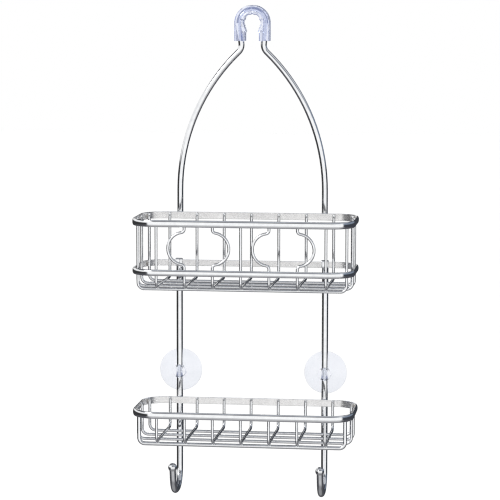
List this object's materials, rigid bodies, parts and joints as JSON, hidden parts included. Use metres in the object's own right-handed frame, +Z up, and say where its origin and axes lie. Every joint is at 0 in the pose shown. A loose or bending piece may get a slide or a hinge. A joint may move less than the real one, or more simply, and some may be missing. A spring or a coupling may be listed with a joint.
{
  "type": "shower caddy",
  "caption": "Hanging wire shower caddy with stacked round-cornered baskets, a soft arm saddle, sliding suction cups and hooks below.",
  "frame": {"origin": "the shower arm's seat: the highest point of the saddle's inner arch, midway through its depth", "axes": "+Z up, +Y towards the wall, +X to the right seen from the front; the hanger bow and the uprights lie in the plane Y = 0"},
  "size_m": [0.262, 0.126, 0.5863],
  "materials": {
    "wire_steel": "bright polished stainless wire and rod",
    "rim_steel": "bright polished band, flat inside and rounded outside",
    "hook_ball": "polished ball end",
    "clear_saddle": "clear soft plastic with a blue cast",
    "clear_cup": "milky clear soft plastic"
  },
  "bodies": {
    "upper_section": {"hanger_bow": "wire_steel", "arm_saddle": "clear_saddle", "upper_top_rim": "rim_steel", "upper_lower_rim": "rim_steel", "upper_cross_wire_1": "wire_steel", "upper_cross_wire_2": "wire_steel", "upper_cross_wire_3": "wire_steel", "upper_cross_wire_4": "wire_steel", "upper_cross_wire_5": "wire_steel", "upper_cross_wire_6": "wire_steel", "upper_cross_wire_7": "wire_steel", "upper_long_wire_1": "wire_steel", "upper_long_wire_2": "wire_steel", "upper_long_wire_3": "wire_steel", "upper_long_wire_4": "wire_steel"},
    "lower_section": {"lower_top_rim": "rim_steel", "lower_cross_wire_1": "wire_steel", "lower_cross_wire_2": "wire_steel", "lower_cross_wire_3": "wire_steel", "lower_cross_wire_4": "wire_steel", "lower_cross_wire_5": "wire_steel", "lower_cross_wire_6": "wire_steel", "lower_cross_wire_7": "wire_steel", "lower_long_wire_1": "wire_steel", "lower_long_wire_2": "wire_steel", "lower_long_wire_3": "wire_steel", "lower_long_wire_4": "wire_steel", "upright_left": "wire_steel", "upright_right": "wire_steel", "hook_ball_left": "hook_ball", "hook_ball_right": "hook_ball"},
    "left_cup": {"suction_cup_left": "clear_cup"},
    "right_cup": {"suction_cup_right": "clear_cup"}
  },
  "joints": [
    {"name": "lower_section_lift", "type": "slide", "parent": "upper_section", "child": "lower_section", "axis": [0, 0, 1], "range_m": [0, 0.012]},
    {"name": "left_cup_slide", "type": "slide", "parent": "lower_section", "child": "left_cup", "axis": [0, 0, 1], "range_m": [-0.02, 0.105]},
    {"name": "right_cup_slide", "type": "slide", "parent": "lower_section", "child": "right_cup", "axis": [0, 0, 1], "range_m": [-0.02, 0.105]}
  ]
}
